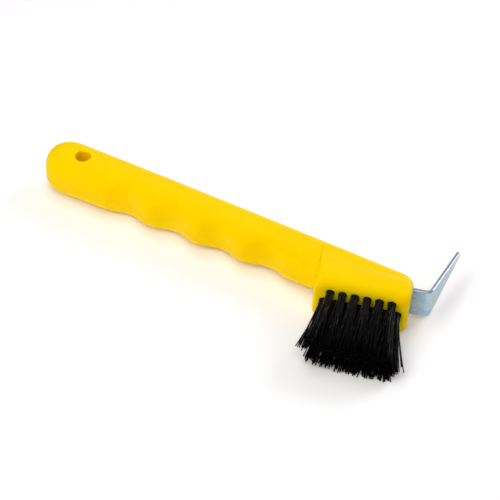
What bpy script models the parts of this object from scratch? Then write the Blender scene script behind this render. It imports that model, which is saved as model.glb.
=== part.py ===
"""Hoof pick: a moulded handle with a tufted brush head and a bent steel pick.

The pick lies on its side. +X runs along the handle toward the hook end, the
bristles point to -Y, the hook to +Y, and +Z runs through the hang hole.
Lengths are in metres. The drawing frame has its origin on the back line of
the handle at the hang hole end, with z = 0 halfway through the thickness.
The brush head is drawn in a frame of its own, turned by HEAD_TURN: t runs
along the tuft face toward the hook, and n runs from the face toward the back.
"""
import math

import bmesh
import bpy
from mathutils import Matrix, Vector

GAP = 0.0003

# Handle
HANDLE_DEPTH = 0.0205
HANDLE_DEPTH_AT_HEAD = 0.0183
HANDLE_THICKNESS = 0.0192
HANDLE_THICKNESS_AT_HEAD = 0.0144
TAPER_END_X = 0.1440
BACK_BOW = 0.0005
BACK_LENGTH = 0.1600
SQUARENESS = 2.5
END_CAP_LENGTH = 0.0107
END_CAP_SQUARENESS = 2.9

# Finger grips on the bristle side
GRIP_START = 0.0298
GRIP_PITCH = 0.0205
GRIP_COUNT = 4
GRIP_DEPTH = 0.0029
GRIP_EDGE_DEPTH = 0.0022
GRIP_ROUND = 0.0040
GRIP_FULLNESS = 0.8

# Hang hole
HANG_HOLE_X = 0.0160
HANG_HOLE_Y = -0.0104
HANG_HOLE_RADIUS = 0.0031

# Brush head
HEAD_TURN = math.radians(15.5)
HEAD_ORIGIN = Vector((0.1323, -0.0248, 0.0))
HEAD_REAR = -0.0067
HEAD_END = 0.0291
HEAD_WIDTH = HANDLE_THICKNESS
HEAD_FLAT_TOP = 0.0080
HEAD_SHOULDER_SHARE = 0.70
HEAD_EDGE_RADIUS = 0.0035
HEAD_END_RADIUS = 0.0022
HEAD_END_BACK_RADIUS = 0.0050
HEAD_REAR_RADIUS = 0.0012
HEAD_REAR_FLAT_SHARE = 0.70

# Pick
STRIP_WIDTH = 0.0125
STRIP_THICKNESS = 0.0014
STRIP_N = 0.0090
TANG_DEPTH = 0.0220
TAB_LENGTH = 0.0066
BEND_RADIUS = 0.0022
BEND_ANGLE = math.radians(77)
BLADE_LENGTH = 0.0296
TIP_WIDTH = 0.0027

# Bristle tufts
TUFT_PITCH = 0.00458
TUFT_ROWS = (6, 7, 6)
ROW_PITCH = 0.00464
TUFT_ROOT_RADIUS = 0.00175
TUFT_TIP_RADIUS = 0.0022
TUFT_LENGTH = 0.0245
TUFT_FOOT = 0.0038
TUFT_SPREAD_T = 0.10
TUFT_SPREAD_Z = 0.28
TUFT_SPREAD_POWER = 1.3
TUFT_HOLE_RADIUS = TUFT_ROOT_RADIUS + GAP
TUFT_HOLE_DEPTH = 0.0060

# Anchor staples under the tufts
ANCHOR_WIDTH = 0.0030
ANCHOR_HEIGHT = 0.0013
ANCHOR_THICKNESS = 0.0004

# How far a cutter stands out of the surface it cuts
CUTTER_OVERHANG = 0.004

# Mesh fineness
CORNER_STEPS = 4
QUARTER_STEPS = CORNER_STEPS + 5
GRIP_STEPS = 8
CAP_STEPS = 7
NECK_STEPS = 3
HEAD_STEPS = 4
ROUND_STEPS = 4
BEND_STEPS = 8
TIP_STEPS = 5
TUFT_STEPS = 5
HOLE_SIDES = 24
TUFT_SIDES = 16

HEAD_T = Vector((math.cos(HEAD_TURN), math.sin(HEAD_TURN), 0.0))
HEAD_N = Vector((-math.sin(HEAD_TURN), math.cos(HEAD_TURN), 0.0))


def clear_scene():
    for thing in list(bpy.data.objects):
        bpy.data.objects.remove(thing, do_unlink=True)


def make_material(name, colour, roughness, metallic=0.0):
    material = bpy.data.materials.new(name)
    material.use_nodes = True
    shader = material.node_tree.nodes["Principled BSDF"]
    shader.inputs["Base Color"].default_value = (*colour, 1.0)
    shader.inputs["Roughness"].default_value = roughness
    shader.inputs["Metallic"].default_value = metallic
    material.diffuse_color = (*colour, 1.0)
    return material


def yellow_plastic():
    return make_material("yellow_plastic", (0.95, 0.62, 0.01), 0.38)


def zinc_plated_steel():
    return make_material("zinc_plated_steel", (0.62, 0.68, 0.74), 0.30, 1.0)


def black_bristle():
    return make_material("black_bristle", (0.012, 0.012, 0.013), 0.45)


def anchor_wire():
    return make_material("anchor_wire", (0.60, 0.58, 0.54), 0.35, 1.0)


def add_object(name, mesh, material, parent, smooth=True):
    mesh.materials.clear()
    mesh.materials.append(material)
    for polygon in mesh.polygons:
        polygon.use_smooth = smooth
    thing = bpy.data.objects.new(name, mesh)
    thing.parent = parent
    bpy.context.collection.objects.link(thing)
    return thing


def mesh_from_rings(name, rings, tip=None):
    """Skin a row of rings into one closed body. A tip closes the first ring to a point."""
    mesh = bpy.data.meshes.new(name)
    bm = bmesh.new()
    loops = [[bm.verts.new(point) for point in ring] for ring in rings]
    count = len(rings[0])
    for first, second in zip(loops, loops[1:]):
        for k in range(count):
            after = (k + 1) % count
            bm.faces.new((first[k], first[after], second[after], second[k]))
    if tip is None:
        bm.faces.new(loops[0])
    else:
        point = bm.verts.new(tip)
        for k in range(count):
            bm.faces.new((point, loops[0][k], loops[0][(k + 1) % count]))
    bm.faces.new(loops[-1])
    bmesh.ops.triangulate(bm, faces=[f for f in bm.faces if len(f.verts) == 4])
    bmesh.ops.recalc_face_normals(bm, faces=bm.faces)
    bm.to_mesh(mesh)
    bm.free()
    return mesh


def signed_power(value, exponent):
    return math.copysign(abs(value) ** exponent, value)


def back_y(x):
    return BACK_BOW * (1.0 - (2.0 * x / BACK_LENGTH - 1.0) ** 2)


def tapered(start, at_head, x):
    return start + (at_head - start) * min(x / TAPER_END_X, 1.0)


def handle_thickness(x):
    return tapered(HANDLE_THICKNESS, HANDLE_THICKNESS_AT_HEAD, x)


def handle_depth(x):
    return tapered(HANDLE_DEPTH, HANDLE_DEPTH_AT_HEAD, x)


def soft_min(first, second, blend):
    """The smaller of two lengths, rounded over where they come within blend of each other."""
    overlap = max(blend - abs(first - second), 0.0)
    return min(first, second) - overlap * overlap / (4.0 * blend)


def grip_cut(x, depth, across, z_share):
    """Where a point of the section ends up once the finger grips are scooped out."""
    along = (x - GRIP_START) / GRIP_PITCH
    if not 0.0 < along < GRIP_COUNT:
        return across
    scoop = abs(math.sin(math.pi * along)) ** GRIP_FULLNESS
    reach = GRIP_ROUND + GRIP_DEPTH + GRIP_EDGE_DEPTH * z_share * z_share
    return soft_min(across, depth + GRIP_ROUND - scoop * reach, GRIP_ROUND)


def handle_ring(back, turn, depth, thickness):
    """A ring across the handle, in a plane turned about Z, from its point on the back line."""
    inward = Vector((math.sin(turn), -math.cos(turn), 0.0))
    ring = []
    for k in range(4 * QUARTER_STEPS):
        angle = 0.5 * math.pi * k / QUARTER_STEPS
        across = 1.0 - signed_power(math.cos(angle), 2.0 / SQUARENESS)
        z = thickness / 2.0 * signed_power(math.sin(angle), 2.0 / SQUARENESS)
        ring.append(back + inward * (across * depth / 2.0) + Vector((0.0, 0.0, z)))
    return ring


def end_cap_rings():
    rings = []
    for k in range(1, CAP_STEPS):
        x = END_CAP_LENGTH * (1.0 - math.cos(0.5 * math.pi * k / CAP_STEPS))
        left = 1.0 - x / END_CAP_LENGTH
        round_depth = math.sqrt(1.0 - left ** 2)
        round_z = (1.0 - left ** END_CAP_SQUARENESS) ** (1.0 / END_CAP_SQUARENESS)
        full = handle_depth(x)
        back = Vector((x, back_y(x) - full * (1.0 - round_depth) / 2.0, 0.0))
        rings.append(handle_ring(back, 0.0, full * round_depth, handle_thickness(x) * round_z))
    return rings


def scooped_ring(x):
    """The ring across the handle at x, with the finger grips scooped out."""
    back = Vector((x, back_y(x), 0.0))
    depth = handle_depth(x)
    thickness = handle_thickness(x)
    ring = handle_ring(back, 0.0, depth, thickness)
    for point in ring:
        point.y = back.y - grip_cut(x, depth, back.y - point.y, 2.0 * point.z / thickness)
    return ring


def straight_rings():
    places = [END_CAP_LENGTH, (END_CAP_LENGTH + GRIP_START) / 2.0]
    for k in range(GRIP_COUNT * GRIP_STEPS + 1):
        places.append(GRIP_START + GRIP_PITCH * k / GRIP_STEPS)
    rings = []
    for x in places:
        rings.append(scooped_ring(x))
    return rings


def head_point(t, n, z):
    return HEAD_ORIGIN + HEAD_T * t + HEAD_N * n + Vector((0.0, 0.0, z))


def head_back(t):
    """How far the back line lies from the tuft face, along n, at t."""
    n = HANDLE_DEPTH
    for _ in range(4):
        point = head_point(t, n, 0.0)
        n += (back_y(point.x) - point.y) / HEAD_N.y
    return n


def turned_handle_ring(t):
    """The handle's own section in the head's plane at t."""
    back = head_point(t, head_back(t), 0.0)
    depth = handle_depth(back.x) / math.cos(HEAD_TURN)
    return handle_ring(back, HEAD_TURN, depth, handle_thickness(back.x))


def neck_rings():
    """Swing the section from square to the handle to square to the tuft face."""
    start = GRIP_START + GRIP_COUNT * GRIP_PITCH
    end = head_point(HEAD_REAR, head_back(HEAD_REAR), 0.0).x
    rings = []
    for k in range(1, NECK_STEPS):
        share = k / NECK_STEPS
        x = start + (end - start) * share
        turn = HEAD_TURN * share
        back = Vector((x, back_y(x), 0.0))
        rings.append(handle_ring(back, turn, handle_depth(x) / math.cos(turn), handle_thickness(x)))
    rings.append(turned_handle_ring(HEAD_REAR))
    return rings


def head_half_width(n, back, back_thickness):
    """Half the head's width at n: flat sides near the tuft face, the handle's width behind."""
    shoulder = HEAD_SHOULDER_SHARE * back
    share = min(max((n - HEAD_FLAT_TOP) / (shoulder - HEAD_FLAT_TOP), 0.0), 1.0)
    share = share * share * (3.0 - 2.0 * share)
    return (HEAD_WIDTH + (back_thickness - HEAD_WIDTH) * share) / 2.0


def head_outline(t):
    """Half of the head's section, as (n, z) from the middle of the back to the tuft face."""
    back = head_back(t)
    back_x = head_point(t, back, 0.0).x
    thickness = handle_thickness(back_x)
    centre = back - handle_depth(back_x) / math.cos(HEAD_TURN) / 2.0
    side = HEAD_WIDTH / 2.0
    outline = []
    for k in range(QUARTER_STEPS):
        angle = 0.5 * math.pi * k / QUARTER_STEPS
        n = centre + (back - centre) * math.cos(angle) ** (2.0 / SQUARENESS)
        z = head_half_width(n, back, thickness) * math.sin(angle) ** (2.0 / SQUARENESS)
        outline.append((n, z))
    for n in (centre, (centre + HEAD_FLAT_TOP) / 2.0, HEAD_FLAT_TOP):
        outline.append((n, head_half_width(n, back, thickness)))
    for k in range(CORNER_STEPS + 1):
        angle = 0.5 * math.pi * k / CORNER_STEPS
        n = HEAD_EDGE_RADIUS * (1.0 - math.sin(angle))
        z = side - HEAD_EDGE_RADIUS * (1.0 - math.cos(angle))
        outline.append((n, z))
    outline.append((0.0, (side - HEAD_EDGE_RADIUS) / 2.0))
    outline.append((0.0, 0.0))
    return outline


def head_ring(t, edge_inset=0.0, back_inset=0.0):
    """A ring across the head, drawn in from its sides and face, and from its back."""
    back = head_back(t)
    side = HEAD_WIDTH / 2.0
    half = []
    for n, z in head_outline(t):
        scale = (back - edge_inset - back_inset) / back
        half.append((edge_inset + n * scale, z * (side - edge_inset) / side))
    other = [(n, -z) for n, z in half[-2:0:-1]]
    return [head_point(t, n, z) for n, z in half + other]


def blend_rings(first, second, share):
    return [a.lerp(b, share) for a, b in zip(first, second)]


def head_rings():
    rings = []
    for k in range(1, ROUND_STEPS):
        angle = 0.5 * math.pi * k / ROUND_STEPS
        t = HEAD_REAR + HEAD_REAR_RADIUS * (1.0 - math.cos(angle))
        share = HEAD_REAR_FLAT_SHARE + (1.0 - HEAD_REAR_FLAT_SHARE) * math.sin(angle)
        rings.append(blend_rings(turned_handle_ring(t), head_ring(t), share))
    body_start = HEAD_REAR + HEAD_REAR_RADIUS
    body_end = HEAD_END - HEAD_END_BACK_RADIUS
    for k in range(HEAD_STEPS):
        rings.append(head_ring(body_start + (body_end - body_start) * k / HEAD_STEPS))
    steps = 2 * ROUND_STEPS
    for k in range(steps + 1):
        angle = 0.5 * math.pi * k / steps
        t = body_end + HEAD_END_BACK_RADIUS * math.sin(angle)
        back_inset = HEAD_END_BACK_RADIUS * (1.0 - math.cos(angle))
        into_edge = max(t - (HEAD_END - HEAD_END_RADIUS), 0.0) / HEAD_END_RADIUS
        edge_inset = HEAD_END_RADIUS * (1.0 - math.sqrt(max(1.0 - into_edge ** 2, 0.0)))
        rings.append(head_ring(t, edge_inset, back_inset))
    return rings


def add_cutter(name, mesh, parent, matrix):
    cutter = bpy.data.objects.new(name, mesh)
    bpy.context.collection.objects.link(cutter)
    cutter.parent = parent
    cutter.matrix_local = matrix
    cutter.hide_render = True
    cutter.display_type = "WIRE"
    return cutter


def cylinder_mesh(name, radius, length, sides):
    mesh = bpy.data.meshes.new(name)
    bm = bmesh.new()
    bmesh.ops.create_cone(
        bm, cap_ends=True, segments=sides, radius1=radius, radius2=radius, depth=length
    )
    bm.to_mesh(mesh)
    bm.free()
    return mesh


def box_mesh(name, size):
    mesh = bpy.data.meshes.new(name)
    bm = bmesh.new()
    bmesh.ops.create_cube(bm, size=1.0)
    bmesh.ops.scale(bm, vec=size, verts=bm.verts)
    bm.to_mesh(mesh)
    bm.free()
    return mesh


def tuft_places():
    """The name part and the (t, z) of each tuft, row by row."""
    places = []
    for row, count in enumerate(TUFT_ROWS):
        start = -(count - TUFT_ROWS[0]) / 2.0
        z = (1 - row) * ROW_PITCH
        for k in range(count):
            places.append((f"{row + 1}_{k + 1}", (start + k) * TUFT_PITCH, z))
    return places


def head_matrix(t, n, z):
    """Local X along t, Y along n and Z up, at a point of the head frame."""
    return Matrix.Translation(head_point(t, n, z)) @ Matrix.Rotation(HEAD_TURN, 4, "Z")


def tuft_hole_mesh():
    """All the blind tuft holes as one cutter of separate cylinders."""
    mesh = bpy.data.meshes.new("tuft_hole_cutter")
    bm = bmesh.new()
    length = TUFT_HOLE_DEPTH + CUTTER_OVERHANG
    upright = Matrix.Rotation(math.radians(90), 4, "X")
    for _, t, z in tuft_places():
        place = Matrix.Translation((t, (TUFT_HOLE_DEPTH - CUTTER_OVERHANG) / 2.0, z))
        bmesh.ops.create_cone(
            bm, cap_ends=True, segments=TUFT_SIDES, radius1=TUFT_HOLE_RADIUS,
            radius2=TUFT_HOLE_RADIUS, depth=length, matrix=place @ upright
        )
    bm.to_mesh(mesh)
    bm.free()
    return mesh


def cut(target, cutter):
    modifier = target.modifiers.new(cutter.name, "BOOLEAN")
    modifier.operation = "DIFFERENCE"
    modifier.solver = "EXACT"
    modifier.object = cutter


def add_handle(parent):
    rings = end_cap_rings() + straight_rings() + neck_rings() + head_rings()
    tip = (0.0, back_y(0.0) - HANDLE_DEPTH / 2.0, 0.0)
    mesh = mesh_from_rings("handle", rings, tip)
    handle = add_object("handle", mesh, yellow_plastic(), parent)
    hole = cylinder_mesh("hang_hole", HANG_HOLE_RADIUS, 2.0 * HANDLE_THICKNESS, HOLE_SIDES)
    hole_place = Matrix.Translation((HANG_HOLE_X, HANG_HOLE_Y, 0.0))
    cut(handle, add_cutter("hang_hole", hole, parent, hole_place))
    slot_length = TANG_DEPTH + GAP + CUTTER_OVERHANG
    slot_size = (slot_length, STRIP_THICKNESS + 2.0 * GAP, STRIP_WIDTH + 2.0 * GAP)
    slot_t = HEAD_END + CUTTER_OVERHANG - slot_length / 2.0
    slot = box_mesh("tang_slot", slot_size)
    cut(handle, add_cutter("tang_slot", slot, parent, head_matrix(slot_t, STRIP_N, 0.0)))
    holes = add_cutter("tuft_holes", tuft_hole_mesh(), parent, head_matrix(0.0, 0.0, 0.0))
    cut(handle, holes)
    return handle


def strip_stations():
    """The strip's middle line in (t, n), its direction, and the half width at each station."""
    half = STRIP_WIDTH / 2.0
    tab_end = TAB_LENGTH - BEND_RADIUS * math.tan(BEND_ANGLE / 2.0)
    stations = [((-TANG_DEPTH, 0.0), 0.0, half), ((tab_end, 0.0), 0.0, half)]
    for k in range(1, BEND_STEPS + 1):
        angle = BEND_ANGLE * k / BEND_STEPS
        t = tab_end + BEND_RADIUS * math.sin(angle)
        n = BEND_RADIUS * (1.0 - math.cos(angle))
        stations.append(((t, n), angle, half))
    (start_t, start_n), angle, _ = stations[-1]
    tip_radius = TIP_WIDTH / 2.0
    straight = BLADE_LENGTH - tip_radius
    lengths = [(straight, tip_radius)]
    for k in range(1, TIP_STEPS):
        turn = 0.5 * math.pi * k / TIP_STEPS
        lengths.append((straight + tip_radius * math.sin(turn), tip_radius * math.cos(turn)))
    for length, width in lengths:
        t = start_t + length * math.cos(angle)
        n = start_n + length * math.sin(angle)
        stations.append(((t, n), angle, width))
    return stations


def add_pick(parent):
    rings = []
    half_thickness = STRIP_THICKNESS / 2.0
    for (t, n), angle, half_width in strip_stations():
        side = Vector((-math.sin(angle), math.cos(angle), 0.0)) * half_thickness
        middle = Vector((t, n, 0.0))
        up = Vector((0.0, 0.0, half_width))
        rings.append([middle + side + up, middle - side + up, middle - side - up, middle + side - up])
    mesh = mesh_from_rings("pick", rings)
    pick = add_object("pick", mesh, zinc_plated_steel(), parent, smooth=False)
    pick.matrix_local = head_matrix(HEAD_END, STRIP_N, 0.0)
    return pick


def tuft_mesh(name, t, z):
    """A tuft from its foot in the hole to its tips, leaning away from the middle of the head."""
    middle_t = (TUFT_ROWS[0] - 1) / 2.0 * TUFT_PITCH
    lean = Vector(((t - middle_t) * TUFT_SPREAD_T, 0.0, z * TUFT_SPREAD_Z))
    heights = [-TUFT_FOOT] + [TUFT_LENGTH * k / TUFT_STEPS for k in range(TUFT_STEPS + 1)]
    rings = []
    for height in heights:
        share = max(height, 0.0) / TUFT_LENGTH
        radius = TUFT_ROOT_RADIUS + (TUFT_TIP_RADIUS - TUFT_ROOT_RADIUS) * share
        middle = lean * share ** TUFT_SPREAD_POWER + Vector((0.0, -height, 0.0))
        ring = []
        for k in range(TUFT_SIDES):
            angle = 2.0 * math.pi * k / TUFT_SIDES
            ring.append(middle + Vector((radius * math.cos(angle), 0.0, radius * math.sin(angle))))
        rings.append(ring)
    return mesh_from_rings(name, rings)


def add_tufts(parent):
    material = black_bristle()
    for label, t, z in tuft_places():
        tuft = add_object(f"tuft_{label}", tuft_mesh(f"tuft_{label}", t, z), material, parent)
        tuft.matrix_local = head_matrix(t, 0.0, z)


def add_anchors(parent):
    material = anchor_wire()
    mesh = box_mesh("anchor", (ANCHOR_WIDTH, ANCHOR_HEIGHT, ANCHOR_THICKNESS))
    n = TUFT_FOOT + GAP + ANCHOR_HEIGHT / 2.0
    for label, t, z in tuft_places():
        anchor = add_object(f"anchor_{label}", mesh, material, parent, smooth=False)
        anchor.matrix_local = head_matrix(t, n, z)


def rest_on_ground(root):
    """Move the root so that the footprint is centred and the lowest point is at z = 0."""
    bpy.context.view_layer.update()
    corners = []
    for thing in root.children:
        if not thing.hide_render:
            corners += [thing.matrix_world @ vertex.co for vertex in thing.data.vertices]
    low = [min(corner[axis] for corner in corners) for axis in range(3)]
    high = [max(corner[axis] for corner in corners) for axis in range(3)]
    root.location = (-(low[0] + high[0]) / 2.0, -(low[1] + high[1]) / 2.0, -low[2])


def main():
    clear_scene()
    root = bpy.data.objects.new("hoof_pick", None)
    bpy.context.collection.objects.link(root)
    add_handle(root)
    add_pick(root)
    add_tufts(root)
    add_anchors(root)
    rest_on_ground(root)


main()
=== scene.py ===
"""Looks of a hoof pick: a yellow moulded handle, a tufted brush head and a bent steel pick.

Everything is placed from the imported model. The drawing frame of the CAD source is found
again from the handle's box: x runs along the handle from the hang hole end, y = 0 is the
back line and z = 0 is halfway through the thickness. The brush head has its own frame,
turned by HEAD_TURN: t along the tuft face toward the hook, n from the face to the back.
Lengths are in metres.
"""
import math
import random

import bmesh
import bpy
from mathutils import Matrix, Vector


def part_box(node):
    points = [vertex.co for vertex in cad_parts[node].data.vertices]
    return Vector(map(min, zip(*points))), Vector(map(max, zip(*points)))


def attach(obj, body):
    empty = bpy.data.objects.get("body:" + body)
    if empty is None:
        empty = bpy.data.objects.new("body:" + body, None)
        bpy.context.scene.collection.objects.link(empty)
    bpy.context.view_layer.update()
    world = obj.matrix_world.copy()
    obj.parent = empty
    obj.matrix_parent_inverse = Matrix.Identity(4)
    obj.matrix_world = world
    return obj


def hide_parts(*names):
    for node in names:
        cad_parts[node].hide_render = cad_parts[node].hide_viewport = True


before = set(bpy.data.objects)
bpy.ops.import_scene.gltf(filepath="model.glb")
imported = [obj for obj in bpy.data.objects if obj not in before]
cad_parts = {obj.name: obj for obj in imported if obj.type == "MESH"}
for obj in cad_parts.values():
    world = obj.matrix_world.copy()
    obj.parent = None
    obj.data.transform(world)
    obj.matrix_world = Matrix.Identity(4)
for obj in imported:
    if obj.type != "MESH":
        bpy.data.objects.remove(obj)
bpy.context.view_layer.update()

# Handle, as in the CAD source
HANDLE_DEPTH = 0.0205
HANDLE_DEPTH_AT_HEAD = 0.0183
HANDLE_THICKNESS = 0.0192
HANDLE_THICKNESS_AT_HEAD = 0.0144
TAPER_END_X = 0.1440
BACK_BOW = 0.0005
BACK_LENGTH = 0.1600
SQUARENESS = 2.5
END_CAP_LENGTH = 0.0107
END_CAP_SQUARENESS = 2.9
GRIP_START = 0.0298
GRIP_PITCH = 0.0205
GRIP_COUNT = 4
GRIP_DEPTH = 0.0029
GRIP_EDGE_DEPTH = 0.0022
GRIP_ROUND = 0.0040
GRIP_FULLNESS = 0.8
GRIP_END = GRIP_START + GRIP_COUNT * GRIP_PITCH
HANG_HOLE_X = 0.0160
HANG_HOLE_Y = -0.0104
HANG_HOLE_RADIUS = 0.0031

# Brush head, as in the CAD source
HEAD_TURN = math.radians(15.5)
HEAD_ORIGIN = Vector((0.1323, -0.0248, 0.0))
HEAD_REAR = -0.0067
HEAD_END = 0.0291
HEAD_WIDTH = HANDLE_THICKNESS
HEAD_FLAT_TOP = 0.0080
HEAD_SHOULDER_SHARE = 0.70
HEAD_EDGE_RADIUS = 0.0035
HEAD_END_RADIUS = 0.0022
HEAD_END_BACK_RADIUS = 0.0050
HEAD_T = Vector((math.cos(HEAD_TURN), math.sin(HEAD_TURN), 0.0))
HEAD_N = Vector((-math.sin(HEAD_TURN), math.cos(HEAD_TURN), 0.0))

# The step where the head starts: a short steep wall, then a round that runs out along t.
# A wall share says how much of the step the wall climbs, and a fullness bends the round:
# 0.5 is a quarter circle's, 1.0 is a parabola's.
REAR_WALL_LENGTH = 0.0002
REAR_SIDE_ROUND = 0.0027
REAR_SIDE_WALL_SHARE = 0.45
REAR_SIDE_FULLNESS = 1.0
REAR_FACE_ROUND = 0.0016
REAR_FACE_WALL_SHARE = 0.78
REAR_FACE_FULLNESS = 0.5

# The fine groove in front of that step, on the two broad sides only: it fades in over
# a share of the half thickness
REAR_GROOVE_WIDTH = 0.0004
REAR_GROOVE_DEPTH = 0.00028
REAR_GROOVE_START = 0.86
REAR_GROOVE_FADE = 0.1

# Small moulding details of the handle
HOLE_RIM_ROUND = 0.0005
HOLE_PATCH = 0.0047
PARTING_HALF_WIDTH = 0.00014
PARTING_HEIGHT = 0.00006
SLOT_CLEARANCE = 0.00006
TUFT_HOLE_CLEARANCE = 0.00012
TUFT_HOLE_COUNTERSINK = 0.00015

# How far the cutters of the tuft holes and of the tang's slot stand out of the head
TUFT_HOLE_OVERHANG = 0.001
SLOT_OVERHANG = 0.002

# Pick, as in the CAD source
STRIP_WIDTH = 0.0125
STRIP_THICKNESS = 0.0014
STRIP_N = 0.0090
TANG_DEPTH = 0.0220
TAB_LENGTH = 0.0066
BEND_RADIUS = 0.0022
BEND_ANGLE = math.radians(77)
BLADE_LENGTH = 0.0296
TIP_WIDTH = 0.0027

# Edge round of the strip, at most a share of its half width and half thickness, and the
# share of its thickness that is lost at the very tip
STRIP_EDGE_ROUND = 0.00038
STRIP_EDGE_SHARE = 0.8
TIP_THINNING = 0.30

# Punched dimple in the strip, from the head's end along t
DIMPLE_T = 0.0011
DIMPLE_Z = 0.0026
DIMPLE_RADIUS = 0.00050

# Bristle tufts, as in the CAD source, but for the bundle's own radius
TUFT_PITCH = 0.00458
TUFT_ROWS = (6, 7, 6)
ROW_PITCH = 0.00464
TUFT_ROOT_RADIUS = 0.00160
TUFT_LENGTH = 0.0245
TUFT_FOOT = 0.0038
TUFT_HOLE_DEPTH = 0.0060

# How the tufts' tips drift: along t in proportion to the place in the row, with a little
# more in the last column, whose start and fade are in tuft pitches, and along z by row as
# (base, toward the hook, toward the grip)
LEAN_T = 0.0011
LAST_COLUMN_LEAN_T = 0.0007
LAST_COLUMN_START = 4.5
LAST_COLUMN_FADE = 0.5
LEAN_Z = ((-0.0018, -0.0022, -0.0008), (-0.0016, -0.0022, 0.0022), (-0.0026, 0.0, 0.0022))

# How far a tuft's tips open out, as a share of each filament's distance from the middle
TUFT_FAN_T = 0.95
TUFT_FAN_Z = 0.66

# Single filaments
BRISTLE_RADIUS = 0.00023
BRISTLES_PER_TUFT = 46
BRISTLE_SIDES = 6
BRISTLE_STEPS = 8
BRISTLE_BEND_POWER = 1.35
BRISTLE_CUT_SLANT = 0.7
FOOT_GATHER = 0.88
FLOOR_CLEARANCE = BRISTLE_RADIUS * 1.5

# Spreads of the random draws: root, tip, tip of a loose filament, bow and length
ROOT_JITTER = 0.00005
TIP_JITTER = 0.00050
LOOSE_TIP_JITTER = 0.0014
LOOSE_SHARE = 0.14
TIP_JITTER_Z_SHARE = 0.8
BOW_JITTER = 0.00022
LENGTH_EXTRA = 0.0002
LENGTH_JITTER = 0.00045
SHORT_SHARE = 0.10
SHORT_BY = (0.0005, 0.0022)

# Filaments that stand away from their tuft, as (tip t, tip z, length)
STRAYS = {
    "2_1": ((-0.0038, 0.0012, 0.0232), (-0.0044, -0.0002, 0.0240), (-0.0035, -0.0014, 0.0246)),
    "2_7": ((0.0050, -0.0018, 0.0236), (0.0059, -0.0026, 0.0245), (0.0043, -0.0030, 0.0243),
            (0.0036, -0.0036, 0.0246)),
    "1_1": ((-0.0024, 0.0004, 0.0240),),
}
STRAY_ROOT_T = TUFT_ROOT_RADIUS * 0.6
STRAY_ROOT_Z = 0.0008

# Handle mesh fineness
SIDE_POINTS = 8
CORNER_POINTS = 10
FLAT_POINTS = 8
QUARTER_POINTS = SIDE_POINTS + CORNER_POINTS + FLAT_POINTS
CAP_STEPS = 16
STRAIGHT_STEP = 0.0010
NECK_STEPS = 12
ROUND_STEPS = 9
HEAD_STEPS = 30
END_STEPS = 16
HOLE_PATCH_SHARES = (0.35, 0.68, 0.88)
HOLE_RIM_STEPS = 6
HOLE_WALL_STEPS = 6
TUFT_HOLE_SIDES = 32

# Pick mesh fineness, whose close steps start a little inside the head
TAB_FINE_START = -0.004
TAB_STEPS = 14
BEND_STEPS = 16
BLADE_STEPS = 24
TIP_STEPS = 9
TIP_STEP_DEGREES = 9.2
TIP_THIN_STEPS = 3
STRIP_EDGE_STEPS = 4
STRIP_FLAT_STEPS = 12

# Angles past which an edge is shaded sharp, in degrees
HANDLE_SHARP = 38
PICK_SHARP = 40
BRISTLE_SHARP = 50

# Camera, as place, turn in degrees and focal length in millimetres
CAMERA_PLACE = (0.211075, -0.410360, 0.429326)
CAMERA_TURN = (47.2258, -2.5935, 28.5803)
CAMERA_LENS = 117.45

# Floor, a little under the object
FLOOR_HALF_SIZE = 6.0
FLOOR_DROP = 0.00002

# Lights on a dome round the object, as (name, bearing, height, distance, size, power, colour):
# bearing and height in degrees, distance and size in metres, power in watts
DOME_LIGHTS = (
    ("front", 252, 45, 0.65, 0.4, 1.35, (1.02, 1.0, 0.92)),
    ("front_right", 300, 60, 0.62, 0.4, 1.25, (0.98, 1.0, 0.96)),
    ("low_front", 270, 15, 0.80, 0.4, 0.90, (1.08, 1.0, 0.94)),
    ("left", 200, 20, 0.75, 0.4, 0.25, (1.06, 1.0, 1.0)),
    ("right", 45, 48, 0.55, 0.4, 0.2, (0.92, 1.0, 1.06)),
    ("back_right", 62, 27, 0.70, 0.45, 2.4, (1.08, 1.0, 1.08)),
    ("back_left", 114, 35, 0.70, 0.5, 0.50, (1.06, 1.0, 1.06)),
)

# The drawing frame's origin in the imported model
handle_low, handle_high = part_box("handle")
ORIGIN = Vector((handle_low.x, handle_high.y - BACK_BOW, (handle_low.z + handle_high.z) / 2.0))
FLOOR_Z = handle_low.z


def placed(point):
    """A point of the drawing frame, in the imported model's frame."""
    return ORIGIN + Vector(point)


def head_point(t, n, z):
    """A point of the head's frame, in the drawing frame."""
    return HEAD_ORIGIN + HEAD_T * t + HEAD_N * n + Vector((0.0, 0.0, z))


def mix(a, b, share):
    return a + (b - a) * share


def smooth_step(share):
    share = min(max(share, 0.0), 1.0)
    return share * share * (3.0 - 2.0 * share)


# ---------------------------------------------------------------- materials


def add_node(material, kind, inputs=None, **settings):
    tree = material.node_tree
    node = tree.nodes.new(kind)
    for key, value in settings.items():
        setattr(node, key, value)
    for key, value in (inputs or {}).items():
        if isinstance(value, bpy.types.NodeSocket):
            tree.links.new(value, node.inputs[key])
        else:
            node.inputs[key].default_value = value
    return node


def new_material(name):
    material = bpy.data.materials.new(name)
    material.use_nodes = True
    return material, material.node_tree.nodes["Principled BSDF"]


def link(material, socket, target):
    material.node_tree.links.new(socket, target)


def stretched(material, scale):
    """Object coordinates, scaled by a different amount along each axis."""
    place = add_node(material, "ShaderNodeTexCoord").outputs["Object"]
    mapping = add_node(material, "ShaderNodeMapping", {"Vector": place, "Scale": scale})
    return mapping.outputs["Vector"]


def noise(material, scale, detail=3.0, roughness=0.5, distortion=0.0):
    """Noise with a scale in cycles per metre, the same all ways or one for each axis."""
    vector = stretched(material, scale if isinstance(scale, tuple) else (scale,) * 3)
    inputs = {"Vector": vector, "Scale": 1.0, "Detail": detail, "Roughness": roughness,
              "Distortion": distortion}
    return add_node(material, "ShaderNodeTexNoise", inputs).outputs["Fac"]


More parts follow.
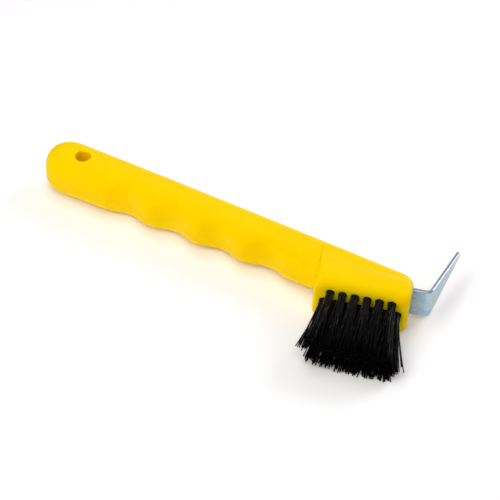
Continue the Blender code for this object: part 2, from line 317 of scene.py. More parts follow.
def ramp(material, value, stops):
    """A colour ramp through (position, colour) stops."""
    node = add_node(material, "ShaderNodeValToRGB", {"Fac": value})
    elements = node.color_ramp.elements
    while len(elements) < len(stops):
        elements.new(0.5)
    for element, (position, colour) in zip(elements, stops):
        element.position = position
        element.color = (*colour, 1.0)
    return node.outputs["Color"]


def ranged(material, value, low, high, to_low, to_high):
    """The value, with the range from low to high stretched to run from to_low to to_high."""
    inputs = {"Value": value, "From Min": low, "From Max": high, "To Min": to_low, "To Max": to_high}
    return add_node(material, "ShaderNodeMapRange", inputs).outputs["Result"]


def math_node(material, operation, first, second):
    inputs = {0: first, 1: second}
    return add_node(material, "ShaderNodeMath", inputs, operation=operation).outputs["Value"]


def mixed(material, share, base, colour):
    """The base with a share of one even colour mixed in."""
    inputs = {"Fac": share, "Color1": base, "Color2": (*colour, 1.0)}
    return add_node(material, "ShaderNodeMixRGB", inputs).outputs["Color"]


def bump(material, height, strength, distance, normal=None):
    inputs = {"Height": height, "Strength": strength, "Distance": distance}
    if normal is not None:
        inputs["Normal"] = normal
    return add_node(material, "ShaderNodeBump", inputs).outputs["Normal"]


def yellow_plastic():
    """Satin moulded plastic: even colour with faint flow marks, fine texture and light scuffs."""
    material, shader = new_material("yellow_plastic")
    flow = noise(material, (22.0, 60.0, 60.0), detail=4.0, distortion=0.6)
    colour = ramp(material, flow, [(0.25, (0.915, 0.595, 0.0)), (0.75, (0.95, 0.627, 0.0))])
    scuff_lines = noise(material, (60.0, 1400.0, 1100.0), detail=2.0)
    scuff_places = noise(material, 45.0, detail=2.0)
    scuffs = math_node(material, "MULTIPLY", ranged(material, scuff_lines, 0.60, 0.72, 0.0, 1.0),
                       ranged(material, scuff_places, 0.52, 0.66, 0.0, 1.0))
    colour = mixed(material, math_node(material, "MULTIPLY", scuffs, 0.10), colour, (0.97, 0.75, 0.10))
    link(material, colour, shader.inputs["Base Color"])
    grain = noise(material, 900.0, detail=2.0)
    roughness = ranged(material, noise(material, 70.0, detail=5.0), 0.3, 0.7, 0.34, 0.46)
    roughness = math_node(material, "ADD", roughness, math_node(material, "MULTIPLY", scuffs, 0.16))
    link(material, roughness, shader.inputs["Roughness"])
    sink = bump(material, noise(material, 85.0, detail=1.0), 0.35, 0.00025)
    fine = bump(material, grain, 0.12, 0.00006, sink)
    lines = bump(material, scuffs, 0.10, 0.00003, fine)
    link(material, lines, shader.inputs["Normal"])
    shader.inputs["Specular IOR Level"].default_value = 0.07
    shader.inputs["Subsurface Weight"].default_value = 0.6
    shader.inputs["Subsurface Radius"].default_value = (1.0, 0.55, 0.05)
    shader.inputs["Subsurface Scale"].default_value = 0.0045
    shader.inputs["Specular Tint"].default_value = (1.0, 0.85, 0.02, 1.0)
    return material


def zinc_plated_steel():
    """Bright zinc with a cold passivated tint, a rolled grain and faint cloudy patches."""
    material, shader = new_material("zinc_plated_steel")
    clouds = noise(material, 160.0, detail=5.0, roughness=0.6, distortion=0.5)
    colour = ramp(material, clouds, [(0.32, (0.31, 0.46, 0.61)), (0.50, (0.42, 0.54, 0.59)),
                                     (0.68, (0.46, 0.51, 0.46))])
    link(material, colour, shader.inputs["Base Color"])
    rolled = noise(material, (90.0, 90.0, 2600.0), detail=2.0)
    speckle = noise(material, 2200.0, detail=2.0)
    roughness = math_node(material, "ADD", ranged(material, clouds, 0.3, 0.7, 0.24, 0.38),
                          ranged(material, rolled, 0.3, 0.7, -0.03, 0.05))
    link(material, roughness, shader.inputs["Roughness"])
    soft = bump(material, noise(material, 260.0, detail=2.0), 0.30, 0.00008)
    grain = bump(material, rolled, 0.10, 0.00002, soft)
    link(material, bump(material, speckle, 0.10, 0.00002, grain), shader.inputs["Normal"])
    shader.inputs["Metallic"].default_value = 1.0
    return material


def black_bristle():
    """Black nylon filament with a slight sheen, painted grey sheen streaks that fade toward the cut
    ends, and fine drawn lines along its length.
    """
    material, shader = new_material("black_bristle")
    place = add_node(material, "ShaderNodeTexCoord").outputs["Object"]
    along = add_node(material, "ShaderNodeVectorMath", {0: place, 1: HEAD_N}, operation="DOT_PRODUCT")
    root = placed(HEAD_ORIGIN).dot(HEAD_N)
    # 1 at the tuft face and 0 at the cut ends, which stay dark and dull: the painted grey sheen,
    # lightest near the face, fades out toward them
    nearness = ranged(material, along.outputs["Value"], root - TUFT_LENGTH, root, 0.0, 1.0)
    streaks = ranged(material, noise(material, (2300.0, 55.0, 2300.0), detail=1.0), 0.61, 0.70, 0.0, 1.0)
    tone = noise(material, 1500.0, detail=2.0)
    colour = ramp(material, tone, [(0.3, (0.0006, 0.0006, 0.0007)), (0.7, (0.002, 0.002, 0.0023))])
    # Painted sheen: grey streaks along the filaments mixed into the black, strongest near the tuft face
    # and gone at the cut ends
    painted_sheen = math_node(material, "MULTIPLY", streaks, nearness)
    colour = mixed(material, painted_sheen, colour, (0.022, 0.022, 0.023))
    link(material, colour, shader.inputs["Base Color"])
    roughness = ranged(material, noise(material, 700.0, detail=2.0), 0.3, 0.7, 0.30, 0.46)
    link(material, roughness, shader.inputs["Roughness"])
    drawn = noise(material, (5200.0, 420.0, 5200.0), detail=1.0)
    link(material, bump(material, drawn, 0.25, 0.00003), shader.inputs["Normal"])
    shine = math_node(material, "ADD", math_node(material, "MULTIPLY", streaks, 1.10), 0.20)
    shine = math_node(material, "ADD", math_node(material, "MULTIPLY", shine, nearness), 0.025)
    link(material, shine, shader.inputs["Specular IOR Level"])
    return material


def anchor_wire():
    """Dull flat wire of the tuft anchors, with faint patches and drawing lines."""
    material, shader = new_material("anchor_wire")
    patches = noise(material, 1200.0, detail=4.0)
    colour = ramp(material, patches, [(0.3, (0.48, 0.46, 0.42)), (0.7, (0.66, 0.63, 0.58))])
    link(material, colour, shader.inputs["Base Color"])
    link(material, ranged(material, patches, 0.3, 0.7, 0.28, 0.5), shader.inputs["Roughness"])
    lines = noise(material, (400.0, 400.0, 9000.0), detail=1.0)
    link(material, bump(material, lines, 0.2, 0.00002), shader.inputs["Normal"])
    shader.inputs["Metallic"].default_value = 1.0
    return material


# ---------------------------------------------------------------- shared mesh work


def add_piece(name, mesh, material, slot, *stands_for):
    mesh.materials.clear()
    mesh.materials.append(material)
    piece = bpy.data.objects.new(name, mesh)
    bpy.context.scene.collection.objects.link(piece)
    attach(piece, "root")
    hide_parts(*stands_for)


def skin_between(bm, first, second):
    """A band of faces between two closed loops of vertices."""
    count = len(first)
    for k in range(count):
        after = (k + 1) % count
        bm.faces.new((first[k], first[after], second[after], second[k]))


def add_tube(bm, rings):
    """Skin a row of rings and close both ends."""
    rows = [[bm.verts.new(point) for point in ring] for ring in rings]
    for first, second in zip(rows, rows[1:]):
        skin_between(bm, first, second)
    bm.faces.new(list(reversed(rows[0])))
    bm.faces.new(rows[-1])


def mesh_from(bm, name):
    bmesh.ops.recalc_face_normals(bm, faces=bm.faces)
    mesh = bpy.data.meshes.new(name)
    bm.to_mesh(mesh)
    bm.free()
    return mesh


def shade(mesh, angle):
    """Smooth shading, with the edges sharper than an angle in degrees kept sharp."""
    mesh.polygons.foreach_set("use_smooth", [True] * len(mesh.polygons))
    mesh.set_sharp_from_angle(angle=math.radians(angle))


def cut_away(mesh, cutters):
    """The mesh with each cutter mesh taken out of it."""
    target = bpy.data.objects.new("target", mesh)
    bpy.context.scene.collection.objects.link(target)
    tools = []
    for cutter in cutters:
        tool = bpy.data.objects.new("tool", cutter)
        bpy.context.scene.collection.objects.link(tool)
        modifier = target.modifiers.new("cut", "BOOLEAN")
        modifier.operation = "DIFFERENCE"
        modifier.solver = "EXACT"
        modifier.object = tool
        tools.append(tool)
    bpy.context.view_layer.update()
    evaluated = target.evaluated_get(bpy.context.evaluated_depsgraph_get())
    result = bpy.data.meshes.new_from_object(evaluated)
    for thing in tools + [target]:
        bpy.data.objects.remove(thing, do_unlink=True)
    result.name = mesh.name
    return result


# ---------------------------------------------------------------- handle


def back_y(x):
    """The handle's back line, bowed a little outward."""
    return BACK_BOW * (1.0 - (2.0 * x / BACK_LENGTH - 1.0) ** 2)


def tapered(start, at_head, x):
    """A length that runs evenly from its start to its value at the head."""
    return start + (at_head - start) * min(x / TAPER_END_X, 1.0)


def handle_thickness(x):
    return tapered(HANDLE_THICKNESS, HANDLE_THICKNESS_AT_HEAD, x)


def handle_depth(x):
    return tapered(HANDLE_DEPTH, HANDLE_DEPTH_AT_HEAD, x)


def soft_min(first, second, blend):
    """The smaller of two lengths, rounded over where they come within blend of each other."""
    overlap = max(blend - abs(first - second), 0.0)
    return min(first, second) - overlap * overlap / (4.0 * blend)


def grip_cut(x, depth, across, z_share):
    """Where a point of the section ends up once the finger grips are scooped out."""
    along = (x - GRIP_START) / GRIP_PITCH
    if not 0.0 < along < GRIP_COUNT:
        return across
    scoop = abs(math.sin(math.pi * along)) ** GRIP_FULLNESS
    reach = GRIP_ROUND + GRIP_DEPTH + GRIP_EDGE_DEPTH * z_share * z_share
    return soft_min(across, depth + GRIP_ROUND - scoop * reach, GRIP_ROUND)


def quarter_angles():
    """Angles of one quarter of the section. The first step is as narrow as the parting line."""
    narrow = (PARTING_HALF_WIDTH * 2.0 / HANDLE_THICKNESS) ** (SQUARENESS / 2.0)
    even = [0.5 * math.pi * k / (QUARTER_POINTS - 1) for k in range(1, QUARTER_POINTS - 1)]
    return [0.0, narrow] + even


QUARTER = quarter_angles()


def ring_angles():
    """Angles all round, with the narrow steps at the back and at the front."""
    first = QUARTER + [0.5 * math.pi]
    second = [math.pi - angle for angle in reversed(QUARTER)]
    half = first + second
    return half + [2.0 * math.pi - angle for angle in reversed(half[1:-1])]


RING = ring_angles()
FRONT = 2 * QUARTER_POINTS


def signed_power(value, exponent):
    return math.copysign(abs(value) ** exponent, value)


def handle_ring(back, turn, depth, thickness, parting, grip_x=None):
    """A ring across the handle, in a plane turned about Z, from its point on the back line.

    The parting line stands out by a share of its height, and grip_x scoops the grips out.
    """
    inward = Vector((math.sin(turn), -math.cos(turn), 0.0))
    ring = []
    for k, angle in enumerate(RING):
        across = depth / 2.0 * (1.0 - signed_power(math.cos(angle), 2.0 / SQUARENESS))
        z_share = signed_power(math.sin(angle), 2.0 / SQUARENESS)
        if grip_x is not None:
            across = grip_cut(grip_x, depth, across, z_share)
        raised = PARTING_HEIGHT * parting * ((k == FRONT) - (k == 0))
        place = Vector((0.0, 0.0, thickness / 2.0 * z_share))
        ring.append(back + inward * (across + raised) + place)
    return ring


def end_cap_rings():
    """The round end at the hang hole."""
    rings = []
    for k in range(1, CAP_STEPS):
        x = END_CAP_LENGTH * (1.0 - math.cos(0.5 * math.pi * k / CAP_STEPS))
        left = 1.0 - x / END_CAP_LENGTH
        round_depth = math.sqrt(1.0 - left ** 2)
        round_z = (1.0 - left ** END_CAP_SQUARENESS) ** (1.0 / END_CAP_SQUARENESS)
        full = handle_depth(x)
        back = Vector((x, back_y(x) - full * (1.0 - round_depth) / 2.0, 0.0))
        thickness = handle_thickness(x) * round_z
        rings.append(handle_ring(back, 0.0, full * round_depth, thickness, round_depth))
    return rings


def straight_places():
    count = round((GRIP_END - END_CAP_LENGTH) / STRAIGHT_STEP)
    return [mix(END_CAP_LENGTH, GRIP_END, k / count) for k in range(count + 1)]


def straight_rings():
    """The grip, from the end cap to where the neck starts."""
    rings = []
    for x in straight_places():
        back = Vector((x, back_y(x), 0.0))
        rings.append(handle_ring(back, 0.0, handle_depth(x), handle_thickness(x), 1.0, x))
    return rings


def head_back(t):
    """How far the back line lies from the tuft face, along n, at t."""
    n = HANDLE_DEPTH
    for _ in range(4):
        point = head_point(t, n, 0.0)
        n += (back_y(point.x) - point.y) / HEAD_N.y
    return n


def turned_handle_ring(t):
    """The handle's own section in the head's plane at t."""
    back = head_point(t, head_back(t), 0.0)
    depth = handle_depth(back.x) / math.cos(HEAD_TURN)
    return handle_ring(back, HEAD_TURN, depth, handle_thickness(back.x), 0.0)


def neck_rings():
    """Swing the section from square to the handle to square to the tuft face."""
    end = head_point(HEAD_REAR, head_back(HEAD_REAR), 0.0).x
    rings = []
    for k in range(1, NECK_STEPS):
        share = k / NECK_STEPS
        x = mix(GRIP_END, end, share)
        turn = HEAD_TURN * share
        back = Vector((x, back_y(x), 0.0))
        depth = handle_depth(x) / math.cos(turn)
        rings.append(handle_ring(back, turn, depth, handle_thickness(x), 1.0 - share))
    return rings


def groove_rings():
    """The fine groove at the neck's end: its first edge, its bottom and its last edge."""
    first = turned_handle_ring(HEAD_REAR - REAR_GROOVE_WIDTH)
    bottom = turned_handle_ring(HEAD_REAR - REAR_GROOVE_WIDTH / 2.0)
    half = handle_thickness(bottom[0].x) / 2.0
    for point in bottom:
        reach = (abs(point.z) / half - REAR_GROOVE_START) / REAR_GROOVE_FADE
        point.z -= math.copysign(REAR_GROOVE_DEPTH * smooth_step(reach), point.z)
    return [first, bottom, turned_handle_ring(HEAD_REAR)]


def head_half_width(n, back, back_thickness):
    """Half the head's width at n: flat sides near the tuft face, the handle's width behind."""
    shoulder = HEAD_SHOULDER_SHARE * back
    share = smooth_step((n - HEAD_FLAT_TOP) / (shoulder - HEAD_FLAT_TOP))
    return mix(HEAD_WIDTH, back_thickness, share) / 2.0


def head_outline(t):
    """Half of the head's section, as (n, z) from the middle of the back to the tuft face."""
    back = head_back(t)
    back_x = head_point(t, back, 0.0).x
    thickness = handle_thickness(back_x)
    centre = back - handle_depth(back_x) / math.cos(HEAD_TURN) / 2.0
    side = HEAD_WIDTH / 2.0
    outline = []
    for angle in QUARTER:
        n = centre + (back - centre) * math.cos(angle) ** (2.0 / SQUARENESS)
        z = head_half_width(n, back, thickness) * math.sin(angle) ** (2.0 / SQUARENESS)
        outline.append((n, z))
    for k in range(SIDE_POINTS):
        n = mix(centre, HEAD_EDGE_RADIUS, k / SIDE_POINTS)
        outline.append((n, head_half_width(n, back, thickness)))
    for k in range(CORNER_POINTS + 1):
        angle = 0.5 * math.pi * k / CORNER_POINTS
        n = HEAD_EDGE_RADIUS * (1.0 - math.sin(angle))
        outline.append((n, side - HEAD_EDGE_RADIUS * (1.0 - math.cos(angle))))
    for k in range(1, FLAT_POINTS + 1):
        outline.append((0.0, (side - HEAD_EDGE_RADIUS) * (1.0 - k / FLAT_POINTS)))
    return outline


def head_ring(t, edge_inset=0.0, back_inset=0.0):
    """A ring across the head, drawn in from its sides and face, and from its back."""
    back = head_back(t)
    side = HEAD_WIDTH / 2.0
    scale = (back - edge_inset - back_inset) / back
    half = [(edge_inset + n * scale, z * (side - edge_inset) / side) for n, z in head_outline(t)]
    other = [(n, -z) for n, z in half[-2:0:-1]]
    return [head_point(t, n, z) for n, z in half + other]


def face_weight(k):
    """0 on the back and sides of the head's ring, 1 on its tuft face."""
    k = min(k, len(RING) - k)
    corner_start = QUARTER_POINTS + SIDE_POINTS
    return smooth_step((k - corner_start) / CORNER_POINTS)


def rear_share(into, length, wall_share, fullness):
    """How much of the step is climbed at a distance into the head."""
    if into >= length:
        return 1.0
    if into <= REAR_WALL_LENGTH:
        return wall_share * into / REAR_WALL_LENGTH
    left = 1.0 - (into - REAR_WALL_LENGTH) / (length - REAR_WALL_LENGTH)
    return mix(wall_share, 1.0, (1.0 - left ** 2) ** fullness)


def rear_ring(t):
    """A ring on the step, part way from the handle's own section to the head's."""
    into = t - HEAD_REAR
    side = rear_share(into, REAR_SIDE_ROUND, REAR_SIDE_WALL_SHARE, REAR_SIDE_FULLNESS)
    face = rear_share(into, REAR_FACE_ROUND, REAR_FACE_WALL_SHARE, REAR_FACE_FULLNESS)
    pairs = zip(turned_handle_ring(t), head_ring(t))
    return [a.lerp(b, mix(side, face, face_weight(k))) for k, (a, b) in enumerate(pairs)]


def rear_places():
    """Where the step's rings lie along t: two up the wall, then closer together at first."""
    places = [HEAD_REAR + REAR_WALL_LENGTH * k / 2.0 for k in (1, 2)]
    for length in (REAR_FACE_ROUND, REAR_SIDE_ROUND):
        run = length - REAR_WALL_LENGTH
        for k in range(1, ROUND_STEPS + 1):
            angle = 0.5 * math.pi * k / ROUND_STEPS
            places.append(HEAD_REAR + REAR_WALL_LENGTH + run * (1.0 - math.cos(angle)))
    return sorted(places)


def head_rings():
    """The head, from the step at its start to the rounds of its end face."""
    rings = [rear_ring(t) for t in rear_places()]
    body_start = HEAD_REAR + REAR_SIDE_ROUND
    body_end = HEAD_END - HEAD_END_BACK_RADIUS
    for k in range(1, HEAD_STEPS):
        rings.append(head_ring(mix(body_start, body_end, k / HEAD_STEPS)))
    for k in range(END_STEPS + 1):
        angle = 0.5 * math.pi * k / END_STEPS
        t = body_end + HEAD_END_BACK_RADIUS * math.sin(angle)
        back_inset = HEAD_END_BACK_RADIUS * (1.0 - math.cos(angle))
        into_edge = max(t - (HEAD_END - HEAD_END_RADIUS), 0.0) / HEAD_END_RADIUS
        edge_inset = HEAD_END_RADIUS * (1.0 - math.sqrt(max(1.0 - into_edge ** 2, 0.0)))
        rings.append(head_ring(t, edge_inset, back_inset))
    return rings


def section_z(x, y):
    """Half thickness of the straight part of the handle at (x, y)."""
    half_depth = handle_depth(x) / 2.0
    off_centre = abs((back_y(x) - y) / half_depth - 1.0)
    return handle_thickness(x) / 2.0 * (1.0 - off_centre ** SQUARENESS) ** (1.0 / SQUARENESS)


def hole_levels(border, sign):
    """Rings from a patch's border to the hang hole's wall, with a rounded rim."""
    centre = Vector((HANG_HOLE_X, HANG_HOLE_Y, 0.0))
    directions = [(Vector((p.x, p.y, 0.0)) - centre).normalized() for p in border]
    rim = HANG_HOLE_RADIUS + HOLE_RIM_ROUND
    levels = []
    for share in HOLE_PATCH_SHARES:
        ring = []
        for point, direction in zip(border, directions):
            flat = Vector((point.x, point.y, 0.0)).lerp(centre + direction * rim, share)
            ring.append(Vector((flat.x, flat.y, sign * section_z(flat.x, flat.y))))
        levels.append(ring)
    for k in range(HOLE_RIM_STEPS + 1):
        angle = 0.5 * math.pi * k / HOLE_RIM_STEPS
        radius = rim - HOLE_RIM_ROUND * math.sin(angle)
        drop = HOLE_RIM_ROUND * (1.0 - math.cos(angle))
        ring = []
        for direction in directions:
            flat = centre + direction * radius
            ring.append(Vector((flat.x, flat.y, sign * (section_z(flat.x, flat.y) - drop))))
        levels.append(ring)
    return levels


def patch_loop(rows, first_row, last_row, start_k, end_k):
    """The vertices round a patch of the skin. An end_k below start_k goes round the other way."""
    step = 1 if end_k > start_k else -1
    loop = [rows[first_row][k] for k in range(start_k, end_k, step)]
    loop += [rows[i][end_k] for i in range(first_row, last_row)]
    loop += [rows[last_row][k] for k in range(end_k, start_k, -step)]
    loop += [rows[i][start_k] for i in range(last_row, first_row, -1)]
    return loop


def hole_patch(rings):
    """The first and last row and the first and last place in a row of the patch to leave open."""
    ring_y = [point.y for point in rings[CAP_STEPS]]
    in_rows = [i for i, ring in enumerate(rings) if abs(ring[0].x - HANG_HOLE_X) < HOLE_PATCH]
    in_top = [k for k in range(len(RING) // 2) if abs(ring_y[k] - HANG_HOLE_Y) < HOLE_PATCH]
    return in_rows[0], in_rows[-1], in_top[0], in_top[-1]


def skin_handle(bm, rows, patch):
    """Faces between the rows, but for the patch and its mirror image, and over both ends."""
    count = len(RING)
    first_row, last_row, first_k, last_k = patch
    for i in range(len(rows) - 1):
        for k in range(count):
            in_patch = first_k <= min(k, count - 1 - k) < last_k
            if first_row <= i < last_row and in_patch:
                continue
            after = (k + 1) % count
            bm.faces.new((rows[i][k], rows[i][after], rows[i + 1][after], rows[i + 1][k]))
    tip = bm.verts.new(placed((0.0, back_y(0.0) - HANDLE_DEPTH / 2.0, 0.0)))
    for k in range(count):
        bm.faces.new((tip, rows[0][(k + 1) % count], rows[0][k]))
    bm.faces.new(rows[-1])


def skin_hang_hole(bm, rows, patch):
    """Fill both patches in to the hole's rim, and join the two rims by the hole's wall."""
    count = len(RING)
    first_row, last_row, first_k, last_k = patch
    rims = []
    for sign, start_k, end_k in ((1.0, first_k, last_k), (-1.0, count - first_k, count - last_k)):
        loop = patch_loop(rows, first_row, last_row, start_k, end_k)
        border = [vertex.co - ORIGIN for vertex in loop]
        for ring in hole_levels(border, sign):
            level = [bm.verts.new(placed(point)) for point in ring]
            skin_between(bm, loop, level)
            loop = level
        rims.append(loop)
    upper, lower = rims
    above = upper
    for k in range(1, HOLE_WALL_STEPS):
        share = k / HOLE_WALL_STEPS
        level = [bm.verts.new(a.co.lerp(b.co, share)) for a, b in zip(upper, lower)]
        skin_between(bm, above, level)
        above = level
    skin_between(bm, above, lower)


def handle_mesh():
    """The whole moulding as one closed skin, with the hang hole built into it."""
    rings = end_cap_rings() + straight_rings() + neck_rings() + groove_rings() + head_rings()
    bm = bmesh.new()
    rows = [[bm.verts.new(placed(point)) for point in ring] for ring in rings]
    patch = hole_patch(rings)
    skin_handle(bm, rows, patch)
    skin_hang_hole(bm, rows, patch)
    bmesh.ops.delete(bm, geom=[v for v in bm.verts if not v.link_faces], context="VERTS")
    return mesh_from(bm, "handle_moulding")


def tuft_places():
    """The name part and the (t, z) of each tuft, row by row."""
    places = []
    for row, count in enumerate(TUFT_ROWS):
        start = -(count - TUFT_ROWS[0]) / 2.0
        z = (1 - row) * ROW_PITCH
        for k in range(count):
            places.append((f"{row + 1}_{k + 1}", (start + k) * TUFT_PITCH, z))
    return places


def tuft_hole_cutter():
    """All the blind tuft holes as one cutter, each with a small countersink."""
    radius = TUFT_ROOT_RADIUS + TUFT_HOLE_CLEARANCE
    sink = TUFT_HOLE_COUNTERSINK
    wide = radius + sink
    profile = ((-TUFT_HOLE_OVERHANG, wide), (0.0, wide), (sink, radius), (TUFT_HOLE_DEPTH, radius))
    angles = [2.0 * math.pi * k / TUFT_HOLE_SIDES for k in range(TUFT_HOLE_SIDES)]
    bm = bmesh.new()
    for _, t, z in tuft_places():
        rings = []
        for n, reach in profile:
            rings.append([
                placed(head_point(t + reach * math.cos(angle), n, z + reach * math.sin(angle)))
                for angle in angles
            ])
        add_tube(bm, rings)
    return mesh_from(bm, "tuft_holes")


def slot_cutter():
    """The slot of the pick's tang."""
    half_n = STRIP_THICKNESS / 2.0 + SLOT_CLEARANCE
    half_z = STRIP_WIDTH / 2.0 + SLOT_CLEARANCE
    corners = ((half_n, half_z), (-half_n, half_z), (-half_n, -half_z), (half_n, -half_z))
    rings = []
    for t in (HEAD_END - TANG_DEPTH - SLOT_CLEARANCE, HEAD_END + SLOT_OVERHANG):
        rings.append([placed(head_point(t, STRIP_N + n, z)) for n, z in corners])
    bm = bmesh.new()
    add_tube(bm, rings)
    return mesh_from(bm, "tang_slot")


def add_handle():
    mesh = cut_away(handle_mesh(), [tuft_hole_cutter(), slot_cutter()])
    shade(mesh, HANDLE_SHARP)
    add_piece("handle_moulding", mesh, yellow_plastic(), "yellow_plastic", "handle")


# ---------------------------------------------------------------- pick


def strip_stations():
    """The strip's middle line in (t, n), its direction, half width and half thickness."""
    half = STRIP_WIDTH / 2.0
    thick = STRIP_THICKNESS / 2.0
    tab_end = TAB_LENGTH - BEND_RADIUS * math.tan(BEND_ANGLE / 2.0)
    stations = [((-TANG_DEPTH, 0.0), 0.0, half, thick)]
    for k in range(TAB_STEPS + 1):
        stations.append(((mix(TAB_FINE_START, tab_end, k / TAB_STEPS), 0.0), 0.0, half, thick))
    for k in range(1, BEND_STEPS + 1):
        angle = BEND_ANGLE * k / BEND_STEPS
        t = tab_end + BEND_RADIUS * math.sin(angle)
        n = BEND_RADIUS * (1.0 - math.cos(angle))
        stations.append(((t, n), angle, half, thick))
    (start_t, start_n), angle = stations[-1][:2]
    tip_radius = TIP_WIDTH / 2.0
    straight = BLADE_LENGTH - tip_radius
    lengths = []
    for k in range(1, BLADE_STEPS + 1):
        width = mix(half, tip_radius, k / BLADE_STEPS)
        lengths.append((straight * k / BLADE_STEPS, width, thick))
    for k in range(1, TIP_STEPS + 1):
        turn = math.radians(TIP_STEP_DEGREES * k)
        past_full = (k - (TIP_STEPS - TIP_THIN_STEPS)) / TIP_THIN_STEPS
        tip_thick = thick * (1.0 - TIP_THINNING * smooth_step(past_full))
        lengths.append((straight + tip_radius * math.sin(turn), tip_radius * math.cos(turn), tip_thick))
    for length, width, half_thick in lengths:
        t = start_t + length * math.cos(angle)
        n = start_n + length * math.sin(angle)
        stations.append(((t, n), angle, width, half_thick))
    return stations


def strip_section(half_width, half_thick):
    """A flat bar's section with rounded edges, as (across the thickness, z)."""
    radius = min(STRIP_EDGE_ROUND, half_width * STRIP_EDGE_SHARE, half_thick * STRIP_EDGE_SHARE)
    flat = half_width - radius
    section = []
    for side_sign, start in ((1.0, 0.0), (-1.0, 180.0)):
        for corner in range(2):
            for k in range(STRIP_EDGE_STEPS + 1):
                angle = math.radians(start + 90.0 * (corner + k / STRIP_EDGE_STEPS))
                thick_sign = side_sign if corner == 0 else -side_sign
                section.append((
                    (half_thick - radius) * thick_sign + radius * math.cos(angle),
                    flat * side_sign + radius * math.sin(angle),
                ))
        for k in range(1, STRIP_FLAT_STEPS):
            across = 1.0 - 2.0 * k / STRIP_FLAT_STEPS
            section.append((-side_sign * half_thick, flat * side_sign * across))
    return section


def dimple_cutter():
    """A small punched dimple in the tab, close to the head."""
    bm = bmesh.new()
    bmesh.ops.create_icosphere(bm, subdivisions=3, radius=DIMPLE_RADIUS)
    face_n = STRIP_N - STRIP_THICKNESS / 2.0
    centre = placed(head_point(HEAD_END + DIMPLE_T, face_n, DIMPLE_Z))
    bmesh.ops.translate(bm, verts=bm.verts, vec=centre)
    return mesh_from(bm, "dimple")


def add_pick():
    rings = []
    for (t, n), angle, half_width, half_thick in strip_stations():
        ring = []
        for across, z in strip_section(half_width, half_thick):
            point_t = HEAD_END + t - math.sin(angle) * across
            point_n = STRIP_N + n + math.cos(angle) * across
            ring.append(placed(head_point(point_t, point_n, z)))
        rings.append(ring)
    bm = bmesh.new()
    add_tube(bm, rings)
    mesh = cut_away(mesh_from(bm, "pick_strip"), [dimple_cutter()])
    shade(mesh, PICK_SHARP)
    add_piece("pick_strip", mesh, zinc_plated_steel(), "zinc_plated_steel", "pick")


# ---------------------------------------------------------------- bristles


def tip_lean(t, row):
    """How far a tuft's tips have drifted from straight, as (t, z)."""
    middle = (TUFT_ROWS[0] - 1) / 2.0 * TUFT_PITCH
    toward_hook = (t - middle) / middle
    last_column = (t - LAST_COLUMN_START * TUFT_PITCH) / (LAST_COLUMN_FADE * TUFT_PITCH)
    lean_t = LEAN_T * toward_hook + LAST_COLUMN_LEAN_T * smooth_step(last_column)
    base, hook_side, grip_side = LEAN_Z[row]
    lean_z = base + hook_side * smooth_step(toward_hook) + grip_side * smooth_step(-toward_hook)
    return lean_t, lean_z


def bristle_rings(root, tip_shift, bow, length, draw):
    """Rings of one filament, as (t, n, z) from its tuft's root: from its foot to its cut end."""
    a, b = root
    rings = []
    slant = draw.uniform(-BRISTLE_CUT_SLANT, BRISTLE_CUT_SLANT) * BRISTLE_RADIUS
    heights = [-TUFT_FOOT] + [length * k / BRISTLE_STEPS for k in range(BRISTLE_STEPS + 1)]
    for height in heights:
        share = max(height, 0.0) / TUFT_LENGTH
        gather = FOOT_GATHER if height < 0.0 else 1.0
        bend = share ** BRISTLE_BEND_POWER
        swell = math.sin(math.pi * min(share, 1.0))
        t = a * gather + tip_shift[0] * bend + bow[0] * swell
        z = b * gather + tip_shift[1] * bend + bow[1] * swell
        ring = []
        for k in range(BRISTLE_SIDES):
            angle = 2.0 * math.pi * k / BRISTLE_SIDES
            cut = slant * math.cos(angle) if height == heights[-1] else 0.0
            ring.append((t + BRISTLE_RADIUS * math.cos(angle), -height - cut,
                         z + BRISTLE_RADIUS * math.sin(angle)))
        rings.append(ring)
    return rings


def packed_places(count, radius):
    """Evenly packed places in a circle, on a sunflower spiral."""
    golden = math.pi * (3.0 - math.sqrt(5.0))
    places = []
    for k in range(count):
        reach = radius * math.sqrt((k + 0.5) / count)
        places.append((reach * math.cos(golden * k), reach * math.sin(golden * k)))
    return places


def filament_rings(root, lean, draw):
    """One filament of the bundle, with its random tip, bow and length."""
    a = root[0] + draw.gauss(0.0, ROOT_JITTER)
    b = root[1] + draw.gauss(0.0, ROOT_JITTER)
    jitter = TIP_JITTER if draw.random() > LOOSE_SHARE else LOOSE_TIP_JITTER
    shift_t = lean[0] + a * TUFT_FAN_T + draw.gauss(0.0, jitter)
    shift_z = lean[1] + b * TUFT_FAN_Z + draw.gauss(0.0, jitter * TIP_JITTER_Z_SHARE)
    bow = (draw.gauss(0.0, BOW_JITTER), draw.gauss(0.0, BOW_JITTER))
    length = TUFT_LENGTH + draw.gauss(LENGTH_EXTRA, LENGTH_JITTER)
    if draw.random() < SHORT_SHARE:
        length -= draw.uniform(*SHORT_BY)
    return bristle_rings((a, b), (shift_t, shift_z), bow, length, draw)


def stray_rings(tip_t, tip_z, length, draw):
    """One filament that stands away from its bundle."""
    root = (math.copysign(STRAY_ROOT_T, tip_t), draw.uniform(-STRAY_ROOT_Z, STRAY_ROOT_Z))
    return bristle_rings(root, (tip_t, tip_z), (0.0, 0.0), length, draw)


def above_floor(points):
    """A filament's ring, lifted where its middle would be in the floor."""
    lowest = -ORIGIN.z + FLOOR_Z + FLOOR_CLEARANCE
    middle = sum(point[2] for point in points) / len(points)
    lift = max(lowest - middle, 0.0)
    return [(t, n, z + lift) for t, n, z in points]


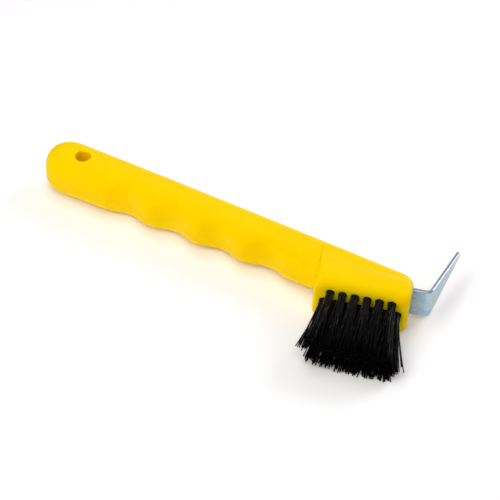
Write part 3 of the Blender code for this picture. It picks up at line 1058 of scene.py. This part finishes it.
def tuft_mesh(label, tuft_t, tuft_z):
    """All the filaments of one tuft."""
    draw = random.Random(f"tuft {label}")
    lean = tip_lean(tuft_t, int(label[0]) - 1)
    bm = bmesh.new()
    for root in packed_places(BRISTLES_PER_TUFT, TUFT_ROOT_RADIUS - BRISTLE_RADIUS):
        world = []
        for ring in filament_rings(root, lean, draw):
            points = above_floor([(tuft_t + t, n, tuft_z + z) for t, n, z in ring])
            world.append([placed(head_point(*point)) for point in points])
        add_tube(bm, world)
    for tip_t, tip_z, length in STRAYS.get(label, ()):
        world = []
        for ring in stray_rings(tip_t, tip_z, length, draw):
            world.append([placed(head_point(tuft_t + t, n, tuft_z + z)) for t, n, z in ring])
        add_tube(bm, world)
    return mesh_from(bm, f"bristles_{label}")


def add_bristles():
    material = black_bristle()
    for label, t, z in tuft_places():
        mesh = tuft_mesh(label, t, z)
        shade(mesh, BRISTLE_SHARP)
        add_piece(f"bristles_{label}", mesh, material, "black_bristle", f"tuft_{label}")


def dress_anchors():
    """The anchors stay CAD nodes, and only take a material."""
    material = anchor_wire()
    for name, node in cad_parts.items():
        if name.startswith("anchor_"):
            node.data.materials.clear()
            node.data.materials.append(material)


# ---------------------------------------------------------------- stage


def add_floor():
    bm = bmesh.new()
    bmesh.ops.create_grid(bm, x_segments=1, y_segments=1, size=FLOOR_HALF_SIZE)
    mesh = mesh_from(bm, "floor")
    floor = bpy.data.objects.new("floor", mesh)
    floor.location = (0.0, 0.0, FLOOR_Z - FLOOR_DROP)
    material, shader = new_material("floor_paper")
    shader.inputs["Base Color"].default_value = (0.95, 0.94, 0.95, 1.0)
    shader.inputs["Roughness"].default_value = 0.9
    shader.inputs["Specular IOR Level"].default_value = 0.0
    shader.inputs["Emission Color"].default_value = (1.0, 1.0, 1.0, 1.0)
    shader.inputs["Emission Strength"].default_value = 0.06
    mesh.materials.append(material)
    bpy.context.scene.collection.objects.link(floor)


def add_area_light(name, place, aim, size, power, colour):
    """A round soft light, turned to face the point that it aims at."""
    data = bpy.data.lights.new(name, "AREA")
    data.shape = "DISK"
    data.size = size
    data.energy = power
    data.color = colour
    light = bpy.data.objects.new(name, data)
    light.location = place
    light.rotation_euler = (Vector(aim) - Vector(place)).to_track_quat("-Z", "Y").to_euler()
    bpy.context.scene.collection.objects.link(light)


def on_dome(bearing, height, distance):
    """A place on a dome round the object: degrees from +X, degrees above the floor."""
    bearing, height = math.radians(bearing), math.radians(height)
    flat = distance * math.cos(height)
    return (flat * math.cos(bearing), flat * math.sin(bearing), distance * math.sin(height))


def add_lights():
    """One light over the grip's end, a ring of lights on a dome, and a faint even surround."""
    over_grip = Vector((-0.15, 0.0, 0.40))
    near_grip = Vector((-0.10, 0.0, 0.0))
    add_area_light("over_grip", over_grip, near_grip, 0.3, 0.56, (0.98, 1.0, 1.04))
    centre = (0.0, 0.0, 0.0)
    for name, bearing, height, distance, size, power, colour in DOME_LIGHTS:
        add_area_light(name, on_dome(bearing, height, distance), centre, size, power, colour)
    world = bpy.data.worlds.new("studio")
    bpy.context.scene.world = world
    world.use_nodes = True
    background = world.node_tree.nodes["Background"]
    background.inputs["Color"].default_value = (0.94, 0.98, 1.0, 1.0)
    background.inputs["Strength"].default_value = 0.03


def add_camera():
    data = bpy.data.cameras.new("camera")
    data.lens = CAMERA_LENS
    data.sensor_width = 36.0
    data.clip_start = 0.01
    data.clip_end = 20.0
    camera = bpy.data.objects.new("camera", data)
    camera.location = CAMERA_PLACE
    camera.rotation_euler = [math.radians(angle) for angle in CAMERA_TURN]
    bpy.context.scene.collection.objects.link(camera)
    bpy.context.scene.camera = camera


add_camera()
add_handle()
add_pick()
add_bristles()
dress_anchors()
add_floor()
add_lights()
bpy.context.scene.view_settings.view_transform = "Standard"
